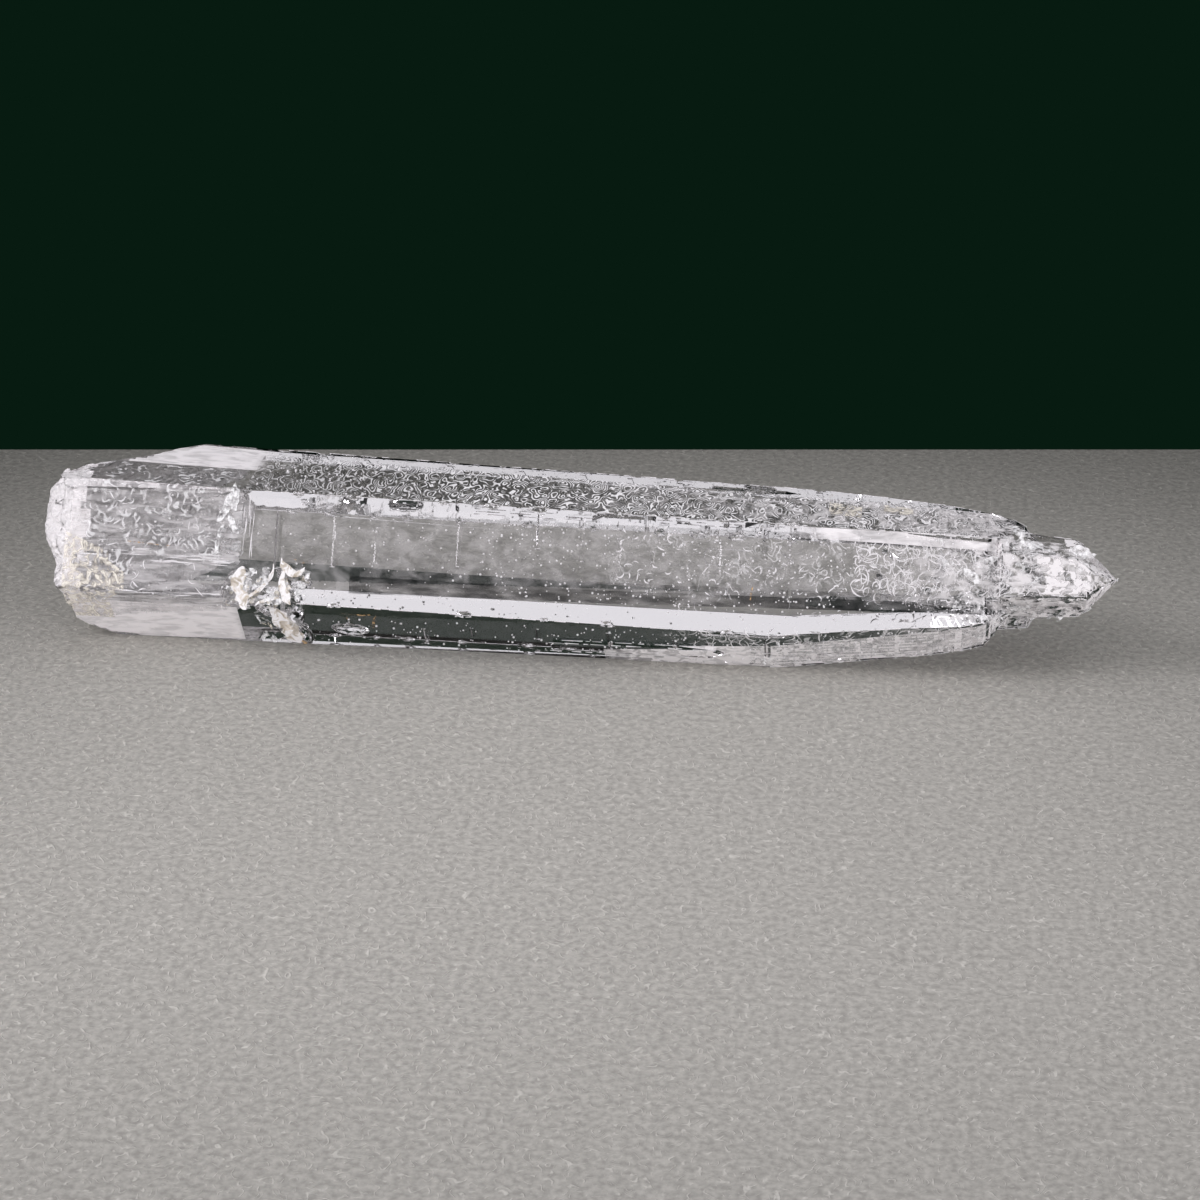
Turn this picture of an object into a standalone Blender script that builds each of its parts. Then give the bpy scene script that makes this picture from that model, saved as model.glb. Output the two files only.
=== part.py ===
"""Lemurian quartz crystal, about 120 mm long, lying on one of its prism faces.

One tapered six-sided prism of clear quartz.  Its left end is the rough, lumpy
break where it came off its bed.  Its right end closes in a run of natural faces
and carries a stubby second crystal that grew on in the same direction.
Units are metres, +X runs from the break to the tip and +Z is up.
"""

import math
import random
from collections import namedtuple

import bmesh
import bpy
from mathutils import Matrix, Vector, noise

MM = 0.001

# The rough block every body is cut from.
STOCK_X = (-70.0, 60.0)
STOCK_HALF_WIDTH = 30.0
GROWTH_MARGIN = 5.0  # stock beyond the point where the end faces of a growth meet

# The long axis of the prism, in millimetres from the resting face.
AXIS_Y = 2.0
AXIS_Z = 8.2

# Each crystal face: roll round the long axis from +Y, taper towards the tip,
# and distance from the axis at x = 0.
Face = namedtuple("Face", "roll taper distance")
PRISM = {
    "top": Face(90.0, 1.6, 8.15),
    "front_upper": Face(150.0, 2.1, 8.2),
    "front_lower": Face(210.0, 0.4, 10.65),
    "bottom": Face(270.0, 0.0, 8.2),
    "back_foot": Face(300.0, 0.2, 9.58),
    "back_lower": Face(338.7, 0.95, 9.41),
    "back_upper": Face(21.6, 0.9, 8.72),
}
FACE_STEP = 60.0  # degrees from one side of a quartz crystal to the next
RHOMB_DIP = 38.2  # quartz: the rhombohedron leans this much away from the prism

# Where a prism face first bends towards the tip, and its dip from there on.
Bend = namedtuple("Bend", "face start dip")
MAIN_BENDS = (
    Bend("bottom", 21.5, 7.0),
    Bend("bottom", 36.5, 11.5),
    Bend("front_lower", 19.5, 6.6),
    Bend("front_lower", 40.0, 14.0),
    Bend("back_foot", 22.5, 8.0),
    Bend("back_foot", 38.0, 15.0),
    Bend("back_lower", 24.0, 7.5),
    Bend("back_upper", 24.0, 5.5),
    Bend("back_upper", 38.0, 13.0),
    Bend("top", 31.0, 3.2),
    Bend("top", 43.0, 11.0),
    Bend("front_upper", 34.0, 4.5),
    Bend("front_upper", 42.5, RHOMB_DIP),
    Bend("bottom", 42.5, 52.0),
    Bend("front_lower", 43.0, 48.0),
    Bend("back_lower", 42.0, 45.0),
    Bend("back_upper", 45.5, RHOMB_DIP),
    Bend("top", 46.5, 50.0),
)

# The old first stretch of the crystal has a narrow extra face along its upper front edge.
OLD_FACE_ROLL = 122.0
OLD_FACE_START = -37.0
OLD_FACE_DIP = 1.2

# Smaller bodies that grew parallel to the first one, each one step further in.
Growth = namedtuple("Growth", "start end y z inradius taper dips")
SHOULDER = Growth(38.0, 50.2, 1.0, 9.0, 4.75, 6.0, (48.0, 54.0, 50.0, 56.0, 58.0, 50.0))
TIP = Growth(44.0, 56.6, -0.4, 10.25, 3.75, 4.5, (43.0, RHOMB_DIP, 52.0, 47.0, 41.0, 55.0))
FIRST_ROLL = 30.0
TIP_ROLL = FIRST_ROLL + 4.0  # the tip sits a little turned on the main crystal

# The break at the base.
BREAK_X = -63.0
BREAK_LEAN = 0.33  # the foot of the break stands back from its top by this share of the height
BREAK_BACK_Y = -4.1  # where the slanting back part of the break begins
BREAK_BACK_SLOPE = 1.34
BREAK_ROUND = {  # how deep below a face the break starts to round over, and how steeply
    "front_upper": (3.2, 1.2),
    "front_lower": (2.2, 1.2),
    "top": (0.9, 1.0),
}
BREAK_FOOT_X = -53.7  # where the break meets the resting face
BREAK_FOOT_SLOPE = 1.95
BREAK_BLEND = 0.8
LUMP_SIZE = 3.4
LUMP_HEIGHT = 1.3
KNOB_SIZE = 1.5
KNOB_HEIGHT = 0.7
BREAK_CELL = 0.62
BREAK_Y = (-12.0, 17.0)
BREAK_Z = (-2.0, 21.0)
BREAK_FAR_X = -80.0

# Growth plates: low terraces left on the faces, one in front of the other.
Plate = namedtuple("Plate", "face x along length width")
PLATES = (
    Plate("back_upper", -9.0, -2.4, 17.0, 1.6),
    Plate("back_upper", 11.0, -1.9, 12.0, 1.8),
    Plate("back_lower", 16.0, 0.2, 10.0, 1.8),
    Plate("front_lower", 5.0, 0.9, 19.0, 1.5),
)
PLATE_HEIGHT = 0.09
PLATE_SINK = 0.4
PLATE_TIP_ANGLE = 60.0
PLATE_TAIL_ANGLE = 37.0
PLATE_TAIL_START = 0.25  # share of the width, either side of the middle, that stays square

# Ladder lines: shallow grooves straight across the faces.
LADDER_FACES = (("front_upper", 4.2), ("back_upper", 3.0), ("front_lower", 2.2))  # half widths
LADDER_X = (-36.0, 30.0)
LADDER_FIRST = 4.0
LADDER_GAP = (4.5, 11.0)
LADDER_CROWDING = 0.008  # share by which the gap shrinks with every millimetre
LADDER_SPAN = (0.35, 0.85)  # share of the face a groove runs across
LADDER_DEPTH = 0.05
LADDER_HALF_WIDTH = 0.09
LADDER_BAR = 3.0  # the bar that cuts a groove is this many times as tall as the groove

# Chips with a rippled, shell-like scoop.
Scar = namedtuple("Scar", "face x along length width depth turn")
SCARS = (
    Scar("front_lower", -33.4, -1.6, 2.2, 4.2, 0.45, 12.0),
    Scar("front_lower", -32.6, 1.2, 1.6, 3.6, 0.3, -14.0),
    Scar("front_lower", -35.3, -2.6, 3.4, 1.8, 0.25, 30.0),
    Scar("front_upper", -33.4, 7.3, 2.6, 2.4, 0.5, -25.0),
    Scar("front_upper", -32.9, 4.3, 3.2, 1.5, 0.25, 20.0),
    Scar("front_upper", -39.2, 6.0, 2.4, 3.9, 0.22, 15.0),
    Scar("front_upper", -37.2, 7.0, 3.1, 1.6, 0.2, -35.0),
    Scar("front_lower", -27.0, 0.2, 3.1, 1.5, 0.2, 5.0),
    Scar("back_upper", 17.0, 1.6, 2.8, 1.4, 0.2, -20.0),
)
SCAR_LIFT = 2.0 / 3.0  # the middle of a scoop lies this share of its radius above the face
SCAR_RIPPLE = 0.03
SCAR_RIPPLE_TURNS = (10.0, 4.0)

# Small chips along the long edges, with the usual distance from one to the next.
NICKED_EDGES = (
    ("top", "front_upper", 7.0),
    ("front_upper", "front_lower", 9.0),
    ("back_upper", "top", 6.0),
    ("back_lower", "back_upper", 5.0),
)
NICK_X = (-44.0, 28.0)
NICK_RADIUS = (0.28, 0.55)
NICK_STRETCH = (1.2, 2.4)
NICK_GAP = (0.7, 1.6)

QUARTZ_RGBA = (0.86, 0.85, 0.84, 1.0)
QUARTZ_IOR = 1.544
SEED = 11


def empty_scene():
    for obj in list(bpy.data.objects):
        bpy.data.objects.remove(obj, do_unlink=True)


def new_collection(name):
    collection = bpy.data.collections.new(name)
    bpy.context.scene.collection.children.link(collection)
    return collection


def merge_into(bm, other):
    """Add a copy of another bmesh's geometry, and free it."""
    mesh = bpy.data.meshes.new("merged")
    other.to_mesh(mesh)
    other.free()
    bm.from_mesh(mesh)
    bpy.data.meshes.remove(mesh)


def add_object(name, bm, collection):
    mesh = bpy.data.meshes.new(name)
    bm.to_mesh(mesh)
    bm.free()
    obj = bpy.data.objects.new(name, mesh)
    collection.objects.link(obj)
    return obj


def add_helper(name, bm, collection):
    helper = add_object(name, bm, collection)
    helper.hide_render = True
    helper.display_type = "WIRE"
    return helper


def radial(roll):
    angle = math.radians(roll)
    return Vector((0.0, math.cos(angle), math.sin(angle)))


def face_plane(roll, dip, x, distance, y=AXIS_Y, z=AXIS_Z):
    """Point and outward normal of a face that lies `distance` off an axis at `x`."""
    out = radial(roll)
    lean = math.radians(dip)
    normal = out * math.cos(lean) + Vector((math.sin(lean), 0.0, 0.0))
    return Vector((x, y, z)) + out * distance, normal


def prism_distance(name, x):
    face = PRISM[name]
    return face.distance - x * math.tan(math.radians(face.taper))


def bend_planes():
    """Each bend starts where the faces of that name have come to by its start."""
    planes = []
    last = {name: (0.0, face.distance, face.taper) for name, face in PRISM.items()}
    for bend in MAIN_BENDS:
        x, distance, dip = last[bend.face]
        here = distance - (bend.start - x) * math.tan(math.radians(dip))
        planes.append(face_plane(PRISM[bend.face].roll, bend.dip, bend.start, here))
        last[bend.face] = (bend.start, here, bend.dip)
    return planes


def block(x0, x1):
    width = 2 * STOCK_HALF_WIDTH
    bm = bmesh.new()
    bmesh.ops.create_cube(bm, size=1.0)
    bmesh.ops.scale(bm, vec=(x1 - x0, width, width), verts=bm.verts)
    bmesh.ops.translate(bm, vec=((x0 + x1) / 2, AXIS_Y, AXIS_Z), verts=bm.verts)
    return bm


def cut(bm, point, normal):
    """Cut off everything beyond the plane and close the body with the new face."""
    parts = bm.verts[:] + bm.edges[:] + bm.faces[:]
    done = bmesh.ops.bisect_plane(
        bm, geom=parts, dist=1e-5, plane_co=point, plane_no=normal, clear_outer=True
    )
    rim = [part for part in done["geom_cut"] if isinstance(part, bmesh.types.BMEdge)]
    if rim:
        bmesh.ops.edgeloop_fill(bm, edges=rim)


def main_crystal():
    bm = block(*STOCK_X)
    for face in PRISM.values():
        cut(bm, *face_plane(face.roll, face.taper, 0.0, face.distance))
    for point, normal in bend_planes():
        cut(bm, point, normal)
    edge = edge_point("top", "front_upper", OLD_FACE_START)
    cut(bm, edge, face_plane(OLD_FACE_ROLL, OLD_FACE_DIP, 0.0, 0.0)[1])
    return bm


def parallel_growth(growth, roll):
    """A six-sided body with its own taper, closed by six faces that meet near its end."""
    bm = block(growth.start, growth.end + GROWTH_MARGIN)
    middle = (growth.start + growth.end) / 2
    for dip in growth.dips:
        cut(bm, *face_plane(roll, growth.taper, middle, growth.inradius, growth.y, growth.z))
        cut(bm, *face_plane(roll, dip, growth.end, 0.0, growth.y, growth.z))
        roll += FACE_STEP
    return bm


def soft_max(values, blend):
    peak = max(values)
    return peak + blend * math.log(sum(math.exp((value - peak) / blend) for value in values))


def depth_below(name, y, z):
    """How deep a point of the cross-section at the break lies below a prism face."""
    out = radial(PRISM[name].roll)
    return prism_distance(name, BREAK_X) - (y - AXIS_Y) * out.y - (z - AXIS_Z) * out.z


def break_x(y, z):
    """How far along the crystal the break lies at a point of its cross-section."""
    slopes = [
        BREAK_X + (2 * AXIS_Z - z) * BREAK_LEAN,
        BREAK_X + (y - BREAK_BACK_Y) * BREAK_BACK_SLOPE,
        BREAK_FOOT_X - z * BREAK_FOOT_SLOPE,
    ]
    for name, (start, slope) in BREAK_ROUND.items():
        slopes.append(BREAK_X + (start - depth_below(name, y, z)) * slope)
    spot = Vector((0.0, y, z))
    lumps = noise.noise(spot / LUMP_SIZE) * LUMP_HEIGHT
    knobs = abs(noise.noise(spot / KNOB_SIZE)) * KNOB_HEIGHT
    return soft_max(slopes, BREAK_BLEND) + lumps - knobs


def break_cutter():
    """A block whose +X side is the lumpy surface of the break."""
    width = BREAK_Y[1] - BREAK_Y[0]
    height = BREAK_Z[1] - BREAK_Z[0]
    columns = round(width / BREAK_CELL)
    rows = round(height / BREAK_CELL)
    bm = bmesh.new()
    bmesh.ops.create_grid(bm, x_segments=columns, y_segments=rows, size=0.5)
    for vert in bm.verts:
        y = BREAK_Y[0] + (vert.co.x + 0.5) * width
        z = BREAK_Z[0] + (vert.co.y + 0.5) * height
        vert.co = (break_x(y, z), y, z)
    far = bmesh.ops.extrude_face_region(bm, geom=bm.faces[:])["geom"]
    for part in far:
        if isinstance(part, bmesh.types.BMVert):
            part.co.x = BREAK_FAR_X
    bmesh.ops.recalc_face_normals(bm, faces=bm.faces)
    return bm


def face_frame(name, x, along):
    """Matrix that lays +Z on the normal of a prism face and +X on the crystal's length."""
    out = radial(PRISM[name].roll)
    side = Vector((1.0, 0.0, 0.0)).cross(out)
    spot = Vector((x, AXIS_Y, AXIS_Z)) + out * prism_distance(name, x) + side * along
    lean = math.radians(PRISM[name].taper)
    length = Vector((math.cos(lean), 0.0, 0.0)) - out * math.sin(lean)
    turn = Matrix((length, side, length.cross(side))).transposed().to_4x4()
    return Matrix.Translation(spot) @ turn


def growth_plate(plate):
    """A thin terrace with a pointed end towards the tip, sunk into its face."""
    bm = bmesh.new()
    bmesh.ops.create_cube(bm, size=1.0)
    thick = PLATE_HEIGHT + PLATE_SINK
    bmesh.ops.scale(bm, vec=(plate.length, plate.width, thick), verts=bm.verts)
    bmesh.ops.translate(bm, vec=(0.0, 0.0, thick / 2 - PLATE_SINK), verts=bm.verts)
    half = plate.length / 2
    tip_angle = math.radians(PLATE_TIP_ANGLE)
    tail_angle = math.radians(PLATE_TAIL_ANGLE)
    for side in (-1.0, 1.0):
        corner = side * plate.width * PLATE_TAIL_START
        tip_normal = Vector((math.cos(tip_angle), side * math.sin(tip_angle), 0.0))
        tail_normal = Vector((-math.cos(tail_angle), side * math.sin(tail_angle), 0.0))
        cut(bm, Vector((half, 0.0, 0.0)), tip_normal)
        cut(bm, Vector((-half, corner, 0.0)), tail_normal)
    bmesh.ops.transform(bm, matrix=face_frame(plate.face, plate.x, plate.along), verts=bm.verts)
    return bm


def ladder_line(face, x, along, length):
    """A three-sided bar laid across a face, with one edge pointing inwards."""
    top = LADDER_DEPTH * (LADDER_BAR - 1.0)
    half_width = LADDER_HALF_WIDTH * LADDER_BAR
    start = -length / 2
    bm = bmesh.new()
    corners = ((-half_width, start, top), (half_width, start, top), (0.0, start, -LADDER_DEPTH))
    bm.faces.new([bm.verts.new(corner) for corner in corners])
    far = bmesh.ops.extrude_face_region(bm, geom=bm.faces[:])["geom"]
    ends = [part for part in far if isinstance(part, bmesh.types.BMVert)]
    bmesh.ops.translate(bm, vec=(0.0, length, 0.0), verts=ends)
    bmesh.ops.recalc_face_normals(bm, faces=bm.faces)
    bmesh.ops.transform(bm, matrix=face_frame(face, x, along), verts=bm.verts)
    return bm


def ladder_cutter(rng):
    """Grooves across three of the faces, closer together towards the tip."""
    bm = bmesh.new()
    start, end = LADDER_X
    for face, half in LADDER_FACES:
        x = start + rng.uniform(0.0, LADDER_FIRST)
        while x < end:
            length = rng.uniform(*LADDER_SPAN) * half * 2
            along = rng.uniform(-1.0, 1.0) * (half - length / 2)
            merge_into(bm, ladder_line(face, x, along, length))
            x += rng.uniform(*LADDER_GAP) * (1.0 - LADDER_CROWDING * (x - start))
    return bm


def shell_scar(scar):
    """Scoop of a conchoidal chip: a rippled flattened ball, set a little into its face."""
    bm = bmesh.new()
    bmesh.ops.create_icosphere(bm, subdivisions=3, radius=1.0)
    turns_x, turns_y = SCAR_RIPPLE_TURNS
    for vert in bm.verts:
        vert.co *= 1.0 + SCAR_RIPPLE * math.sin(turns_x * vert.co.x + turns_y * vert.co.y)
    radius = scar.depth / (1.0 - SCAR_LIFT)
    spread = math.sqrt(1.0 - SCAR_LIFT**2)
    place = (
        face_frame(scar.face, scar.x, scar.along)
        @ Matrix.Rotation(math.radians(scar.turn), 4, "Z")
        @ Matrix.Translation((0.0, 0.0, radius * SCAR_LIFT))
        @ Matrix.Diagonal((scar.length / 2 / spread, scar.width / 2 / spread, radius, 1.0))
    )
    bmesh.ops.transform(bm, matrix=place, verts=bm.verts)
    return bm


def edge_point(first, second, x):
    """Point where two neighbouring prism faces meet at `x`."""
    out_a, out_b = radial(PRISM[first].roll), radial(PRISM[second].roll)
    a, b = prism_distance(first, x), prism_distance(second, x)
    side = out_b.y * out_a.z - out_a.y * out_b.z
    y = (b * out_a.z - a * out_b.z) / side
    z = (a * out_b.y - b * out_a.y) / side
    return Vector((x, AXIS_Y + y, AXIS_Z + z))


def nick_cutter(rng):
    """Small chips knocked out of the long edges, well apart from each other."""
    bm = bmesh.new()
    start, end = NICK_X
    for first, second, spacing in NICKED_EDGES:
        x = start + rng.uniform(0.0, spacing)
        while x < end:
            radius = rng.uniform(*NICK_RADIUS)
            spot = edge_point(first, second, x)
            stretch = Matrix.Diagonal((rng.uniform(*NICK_STRETCH), 1.0, 1.0, 1.0))
            nick = bmesh.new()
            bmesh.ops.create_icosphere(nick, subdivisions=1, radius=radius)
            bmesh.ops.transform(nick, matrix=stretch, verts=nick.verts)
            bmesh.ops.translate(nick, vec=spot, verts=nick.verts)
            merge_into(bm, nick)
            x += spacing * rng.uniform(*NICK_GAP)
    return bm


def combine(obj, helper, operation):
    step = obj.modifiers.new(helper.name, "BOOLEAN")
    step.operation = operation
    step.solver = "EXACT"
    step.object = helper


def quartz_material():
    material = bpy.data.materials.new("clear_quartz")
    material.use_nodes = True
    shader = material.node_tree.nodes["Principled BSDF"]
    shader.inputs["Base Color"].default_value = QUARTZ_RGBA
    shader.inputs["Roughness"].default_value = 0.08
    shader.inputs["Metallic"].default_value = 0.0
    shader.inputs["IOR"].default_value = QUARTZ_IOR
    return material


def settle(obj, helpers):
    """Apply the modifiers, turn millimetres to metres and centre the body over the origin."""
    graph = bpy.context.evaluated_depsgraph_get()
    solid = bpy.data.meshes.new_from_object(obj.evaluated_get(graph))
    low = [min(vert.co[axis] for vert in solid.vertices) for axis in range(3)]
    high = [max(vert.co[axis] for vert in solid.vertices) for axis in range(3)]
    centre = Vector(((low[0] + high[0]) / 2, (low[1] + high[1]) / 2, low[2]))
    place = Matrix.Scale(MM, 4) @ Matrix.Translation(-centre)
    obj.modifiers.clear()
    obj.data = solid
    solid.name = obj.name
    solid.transform(place)
    for helper in helpers:
        helper.data.transform(place)


def main():
    empty_scene()
    rng = random.Random(SEED)
    parts = new_collection("lemurian_quartz_crystal")
    tools = new_collection("cutters_and_growths")
    crystal = add_object("quartz_crystal", main_crystal(), parts)
    crystal.data.materials.append(quartz_material())

    added = [
        add_helper("shoulder_growth", parallel_growth(SHOULDER, FIRST_ROLL), tools),
        add_helper("tip_growth", parallel_growth(TIP, TIP_ROLL), tools),
    ]
    added += [
        add_helper(f"plate_{number:02d}", growth_plate(plate), tools)
        for number, plate in enumerate(PLATES, 1)
    ]
    removed = [add_helper("base_break", break_cutter(), tools)]
    removed += [
        add_helper(f"scar_{number}", shell_scar(scar), tools)
        for number, scar in enumerate(SCARS, 1)
    ]
    removed.append(add_helper("edge_nicks", nick_cutter(rng), tools))
    removed.append(add_helper("ladder_lines", ladder_cutter(rng), tools))
    for helper in added:
        combine(crystal, helper, "UNION")
    for helper in removed:
        combine(crystal, helper, "DIFFERENCE")
    settle(crystal, added + removed)


main()
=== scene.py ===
"""Lemurian quartz crystal: one clear tapered prism lying on a pale sheet of felt.

The left end is the frosted break where the crystal came off its bed, with milky
veils and an iron-stained chip behind it.  The body is water clear under etched
faces, and the right end is crowded with fine cracks that catch the light.
Every place and size is in millimetres, from the middle of the crystal's footprint.
"""

import math
import random
from collections import namedtuple

import bmesh
import bpy
from mathutils import Matrix, Vector, noise
from mathutils.bvhtree import BVHTree


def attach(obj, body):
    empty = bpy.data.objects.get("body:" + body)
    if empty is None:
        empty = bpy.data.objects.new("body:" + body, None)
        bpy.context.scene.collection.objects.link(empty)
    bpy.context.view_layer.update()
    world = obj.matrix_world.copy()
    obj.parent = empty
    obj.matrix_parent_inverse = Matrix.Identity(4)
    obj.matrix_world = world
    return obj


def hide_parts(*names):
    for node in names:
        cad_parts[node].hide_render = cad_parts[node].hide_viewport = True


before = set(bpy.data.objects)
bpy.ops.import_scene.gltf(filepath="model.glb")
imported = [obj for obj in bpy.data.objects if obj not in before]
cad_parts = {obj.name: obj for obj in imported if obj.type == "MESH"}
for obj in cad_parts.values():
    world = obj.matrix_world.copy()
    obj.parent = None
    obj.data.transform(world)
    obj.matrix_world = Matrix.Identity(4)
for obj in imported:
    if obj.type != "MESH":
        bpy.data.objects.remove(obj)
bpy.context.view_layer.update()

MM = 0.001

# ---------------------------------------------------------------- the crystal's own faces
AXIS_Y = 0.97
AXIS_Z = 8.2
# Which way a face looks about the crystal's axis and how much it closes in on it towards
# the tip, both in degrees, and its distance from the axis at the crystal's middle.
Face = namedtuple("Face", "roll taper distance")
PRISM = {
    "top": Face(90.0, 1.6, 8.23),
    "front_upper": Face(150.0, 2.1, 8.31),
    "front_lower": Face(210.0, 0.4, 10.67),
    "bottom": Face(270.0, 0.0, 8.2),
    "back_foot": Face(300.0, 0.2, 9.59),
    "back_lower": Face(338.7, 0.95, 9.46),
    "back_upper": Face(21.6, 0.9, 8.77),
}
MERGE_DISTANCE = 1e-7  # metres between two points of the solid's mesh that are really one
FLAT_ANGLE = math.radians(0.05)
FACE_MATCH = 0.996  # cosine of how far a facet may lean from the grown face it belongs to
RAY_START = 3.0  # the surface is looked for from this far outside a face's ideal plane
RAY_LENGTH = 12.0
CLEAR_START = -36.4  # the milky first stretch ends sharply here
TIP_START = 46.0

# The frosted skin of the break.
FROST_END = -53.6  # it wraps this far along the faces
BREAK_BACK_END = -38.0  # the slanting back part of the break reaches this far
FROST_CELL = 0.55
FROST_RAGGED = 1.3  # how far its edge wanders
FROST_RAGGED_WIDTH = 1.6
FROST_EDGE_NORMAL = (1.0, 0.06, 0.1)
FROST_SPAN = ((-60.0, BREAK_BACK_END), (-12.0, 12.0), (0.3, 18.0))
FROST_LUMPS = ((1.3, 1.0), (0.55, 0.6))  # width and weight of its coarse and its fine lumps
FROST_DEPTH = 0.3

# The fine cross grooves of the front faces, and how far they are filled.
LADDER_FACES = ("front_upper", "front_lower")
LADDER_X = (-36.0, 30.0)
LADDER_DEPTH = (0.02, 0.08)
LADDER_FILL = 0.85

# White beads along the sharp edges: fine chips, and painted highlight where the edges catch the light.
EDGE_ANGLE = math.radians(14.0)
EDGE_CROSSWISE = 0.3  # cosine to the crystal's length under which an edge runs across it
EDGE_STEP = 1.1
EDGE_GAPS = 0.35
EDGE_RADIUS = (0.03, 0.09)
EDGE_LENGTH = (0.5, 1.6)

# Films by piece: the face that one lies on, its two ends as (x, from, to) across the face,
# and its height over the face.
FILM_CELL = 0.6
FILM_SLIDES = 60  # steps in which a film's rim is drawn in until it lies on the face
FILM_TURNING = 0.55  # the share of a film's width up to which it is drawn towards its far side
FILMS = {
    "top_threads": (
        ("top", (-36.4, -4.6, 5.6), (33.0, -3.6, 3.9), 0.02),
        ("top", (33.0, -3.9, 3.9), (47.3, -3.4, 3.0), 0.02),
    ),
    "front_threads": (
        ("front_upper", (4.0, -3.3, 5.3), (36.0, -2.6, 3.4), 0.02),
        ("front_upper", (36.0, -3.4, 4.6), (47.3, -3.2, 3.8), 0.02),
        ("front_lower", (8.0, -2.8, 2.8), (44.0, -3.4, 2.8), 0.02),
        ("front_upper", (47.3, -4.0, 3.0), (58.3, -2.0, 1.2), 0.02),
    ),
    "base_threads": (
        ("front_upper", (-54.0, -5.3, 6.5), (-38.6, -5.3, 2.0), 0.03),
        ("top", (-55.0, 0.4, 7.0), (-37.0, 0.4, 5.8), 0.03),
    ),
    "base_veil": (
        ("front_upper", (-55.5, -5.5, 9.6), (-36.4, -5.3, 8.0), 0.02),
    ),
    "pearly_veil": (
        ("top", (-57.0, -6.6, 0.0), (-34.4, -5.6, 0.2), 0.02),
        ("front_lower", (-55.5, -3.6, 3.9), (-36.6, -3.3, 3.4), 0.02),
    ),
    "lower_veil": (
        ("front_lower", (4.0, 0.8, 3.3), (46.5, -2.6, 3.6), 0.05),
    ),
    "tip_veil": (
        ("front_upper", (18.0, -4.6, -3.3), (47.5, -4.2, -2.6), 0.06),
        ("front_upper", (30.0, -3.6, 3.0), (47.5, -3.6, 4.0), 0.05),
        ("front_lower", (20.0, -3.2, 3.3), (47.0, -3.6, 3.6), 0.05),
        ("top", (28.0, -3.9, 3.9), (48.0, -3.4, 3.2), 0.05),
        ("front_upper", (47.5, -4.2, 3.4), (59.0, -4.0, 3.0), 0.05),
        ("front_lower", (47.0, -3.6, 3.6), (59.0, -3.6, 3.6), 0.05),
    ),
    "tip_frost": (
        ("front_upper", (50.5, -2.2, 3.4), (59.2, -3.0, 3.0), 0.09),
        ("front_lower", (46.0, -4.0, 3.4), (59.2, -3.0, 3.0), 0.09),
        ("top", (53.5, -3.4, 3.4), (59.2, -3.0, 3.0), 0.09),
    ),
    "face_haze": (
        ("front_upper", (-36.4, -4.4, 6.6), (44.0, -3.0, 4.0), 0.04),
    ),
    "top_haze": (
        ("top", (-30.0, -4.4, 5.2), (46.5, -3.4, 3.2), 0.05),
    ),
    "edge_veil": (
        ("front_upper", (23.0, -4.3, -3.1), (47.5, -4.2, -2.7), 0.08),
    ),
    # painted shadow: dark strips where the shade on the felt behind the crystal shows through the upper
    # front face
    "painted_shadow_wisps": (
        ("front_upper", (-24.0, 2.9, 5.7), (3.0, 3.0, 5.3), 0.03),
        ("front_upper", (-24.0, 3.8, 5.7), (3.0, 3.9, 5.3), 0.05),
        ("front_upper", (3.0, 3.0, 5.3), (46.0, 2.4, 4.2), 0.03),
        ("front_upper", (3.0, 3.9, 5.3), (46.0, 3.1, 4.2), 0.05),
    ),
    "dendrites": (
        ("front_upper", (-56.0, 0.5, 9.4), (-51.0, 2.5, 9.4), 0.06),
        ("front_upper", (-51.0, 3.5, 7.6), (-49.0, 4.8, 6.8), 0.06),
        ("top", (27.8, -2.6, 0.6), (31.4, -1.8, 1.2), 0.08),
        ("top", (33.8, -3.0, -0.4), (37.0, -2.8, -1.0), 0.08),
    ),
}

# Zones of flaws: a face, and the ranges along the crystal, across the face and under it.
# A row has the zone and how many there are. All but the bubbles have their size as well,
# splinters and stains their greatest tilt in degrees, and strokes their greatest bend in
# radians and their turn from the crystal's length in degrees, or ANY_TURN.
Zone = namedtuple("Zone", "face x along depth")
ANY_TURN = -1
CRACK_ZONES = (
    (Zone("front_upper", (33.0, 47.0), (-3.0, 3.2), (0.8, 3.5)), 46, 1.5),
    (Zone("front_upper", (-39.3, -36.6), (-5.8, 2.5), (0.5, 1.6)), 14, 1.4),
    (Zone("front_upper", (48.0, 56.0), (-2.6, 1.0), (0.8, 2.5)), 14, 1.5),
    (Zone("top", (34.0, 46.0), (-3.0, 3.0), (0.6, 2.0)), 16, 1.5),
)
CRACK_GAP = 0.02  # half the width of an open crack
CRACK_RAGGED = 0.45
CRACK_RIPPLE = 0.05
CRACK_CURL = 0.25

BUBBLE_RADII = (0.05, 0.06, 0.08, 0.1, 0.14)
BUBBLE_ZONES = (
    (Zone("front_upper", (-35.0, 48.0), (-4.0, 6.5), (-0.07, -0.03)), 420),
    (Zone("front_upper", (-10.0, 48.0), (-3.5, 5.4), (-0.07, -0.03)), 620),
    (Zone("top", (-35.5, -22.0), (-4.5, 5.4), (-0.07, -0.03)), 170),
    (Zone("top", (-22.0, 45.0), (-4.0, 4.0), (-0.07, -0.03)), 160),
    (Zone("front_lower", (-30.0, 45.0), (-2.5, 2.5), (-0.07, -0.03)), 260),
    (Zone("front_upper", (-55.0, -38.0), (-5.0, 8.0), (-0.07, -0.03)), 120),
)

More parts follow.
